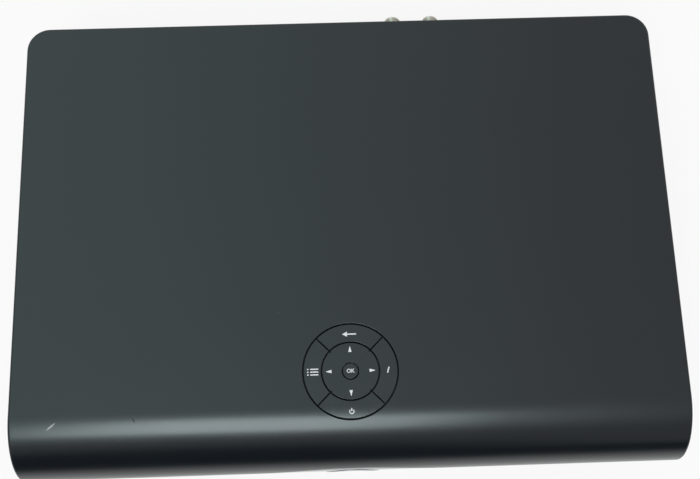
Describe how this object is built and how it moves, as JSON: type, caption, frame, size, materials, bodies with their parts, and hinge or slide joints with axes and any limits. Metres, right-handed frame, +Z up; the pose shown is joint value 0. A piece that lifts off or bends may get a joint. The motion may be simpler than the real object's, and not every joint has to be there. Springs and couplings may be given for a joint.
{
  "type": "satellite television receiver",
  "caption": "Flat satellite TV set-top box with a rolled-front lid, round key cluster with tilting rocker, gloss fascia with card flap, fan and rear sockets.",
  "frame": {"origin": "middle of the base, on the surface that the feet stand on", "axes": "+X to the right seen from the front, front towards -Y, +Z up"},
  "size_m": [0.364, 0.269, 0.076],
  "materials": {
    "case_satin": "satin moulded black-grey plastic, finely grained",
    "key_satin": "satin moulded black-grey plastic",
    "fascia_gloss": "polished piano-black plastic",
    "lens_clear": "clear moulded lens",
    "light_guide": "frosted light-guide plastic",
    "window_smoked": "smoked red infrared window",
    "sheet_zinc": "zinc-plated sheet steel",
    "pin_steel": "drawn steel wire",
    "screw_black": "blackened steel",
    "rubber_grey": "moulded rubber",
    "board_green": "solder-masked circuit board",
    "chip_black": "moulded epoxy",
    "emitter_white": "light emitter package",
    "inner_plastic": "plain moulded plastic",
    "socket_black": "black socket plastic",
    "socket_metal": "nickel-plated socket shell",
    "connector_nickel": "nickel-plated brass",
    "tinplate": "bright tinplate",
    "sink_aluminium": "extruded aluminium",
    "disk_cast": "cast aluminium with a pressed cover",
    "ferrite": "ferrite core with a taped winding",
    "capacitor_sleeve": "shrink sleeve",
    "lead_grey": "flat lead insulation",
    "lead_red": "data lead insulation",
    "fan_black": "moulded fan plastic"
  },
  "bodies": {
    "case": {"lid": "case_satin", "front_fascia": "fascia_gloss", "flap_hinge_pin": "pin_steel", "base_tray": "sheet_zinc", "rear_panel": "sheet_zinc", "lid_screws": "screw_black", "board_screws": "screw_black", "feet": "rubber_grey", "status_lens": "lens_clear", "light_ring": "light_guide", "indicator_lights": "light_guide", "infrared_window": "window_smoked", "front_board": "board_green", "front_leds": "emitter_white", "card_reader": "inner_plastic", "button_bezel": "inner_plastic", "switch_board": "board_green", "switch_bodies": "chip_black", "main_board": "board_green", "main_chips": "chip_black", "main_heat_sink": "sink_aluminium", "power_board": "board_green", "power_transformer": "ferrite", "power_capacitors": "capacitor_sleeve", "hard_disk": "disk_cast", "disk_bracket": "sheet_zinc", "disk_grommets": "rubber_grey", "fan_frame": "fan_black", "button_ribbon": "lead_grey", "disk_lead": "lead_red", "mains_lead": "lead_grey", "power_lead": "lead_grey", "tuner_can": "tinplate", "dish_connectors": "connector_nickel", "aerial_sockets": "connector_nickel", "scart_sockets": "socket_black", "audio_sockets": "socket_metal", "optical_socket": "socket_black", "hdmi_socket": "socket_metal", "usb_socket": "socket_metal", "network_socket": "socket_black", "phone_socket": "socket_black", "mains_inlet": "socket_black", "mains_inlet_pins": "connector_nickel"},
    "card_flap_body": {"card_flap": "fascia_gloss"},
    "fan_rotor_body": {"fan_rotor": "fan_black"},
    "select_key": {"select_button": "key_satin", "select_plunger": "inner_plastic"},
    "rocker_gimbal": {"rocker_hoop": "pin_steel"},
    "rocker": {"rocker_ring": "key_satin", "rocker_plungers": "inner_plastic"},
    "info_key": {"info_button": "key_satin", "info_plunger": "inner_plastic"},
    "back_key": {"back_button": "key_satin", "back_plunger": "inner_plastic"},
    "guide_key": {"guide_button": "key_satin", "guide_plunger": "inner_plastic"},
    "power_key": {"power_button": "key_satin", "power_plunger": "inner_plastic"}
  },
  "joints": [
    {"name": "card_flap_hinge", "type": "hinge", "parent": "case", "child": "card_flap_body", "pos_m": [0.121, -0.1222, 0.0146], "axis": [1, 0, 0], "range_deg": [0, 85]},
    {"name": "fan_spin", "type": "hinge", "parent": "case", "child": "fan_rotor_body", "pos_m": [0.104, 0.1138, 0.038], "axis": [0, 1, 0], "continuous": true},
    {"name": "rocker_tilt_x", "type": "hinge", "parent": "case", "child": "rocker_gimbal", "pos_m": [0, -0.0825, 0.071], "axis": [1, 0, 0], "range_deg": [-2, 2], "stiffness_Nm_per_rad": 0.5},
    {"name": "rocker_tilt_y", "type": "hinge", "parent": "rocker_gimbal", "child": "rocker", "pos_m": [0, -0.0825, 0.071], "axis": [0, 1, 0], "range_deg": [-2, 2], "stiffness_Nm_per_rad": 0.5},
    {"name": "info_press", "type": "slide", "parent": "case", "child": "info_key", "axis": [0, 0, -1], "range_m": [0, 0.0005], "stiffness_N_per_m": 2000},
    {"name": "back_press", "type": "slide", "parent": "case", "child": "back_key", "axis": [0, 0, -1], "range_m": [0, 0.0005], "stiffness_N_per_m": 2000},
    {"name": "guide_press", "type": "slide", "parent": "case", "child": "guide_key", "axis": [0, 0, -1], "range_m": [0, 0.0005], "stiffness_N_per_m": 2000},
    {"name": "power_press", "type": "slide", "parent": "case", "child": "power_key", "axis": [0, 0, -1], "range_m": [0, 0.0005], "stiffness_N_per_m": 2000},
    {"name": "select_press", "type": "slide", "parent": "case", "child": "select_key", "axis": [0, 0, -1], "range_m": [0, 0.0005], "stiffness_N_per_m": 2000}
  ]
}
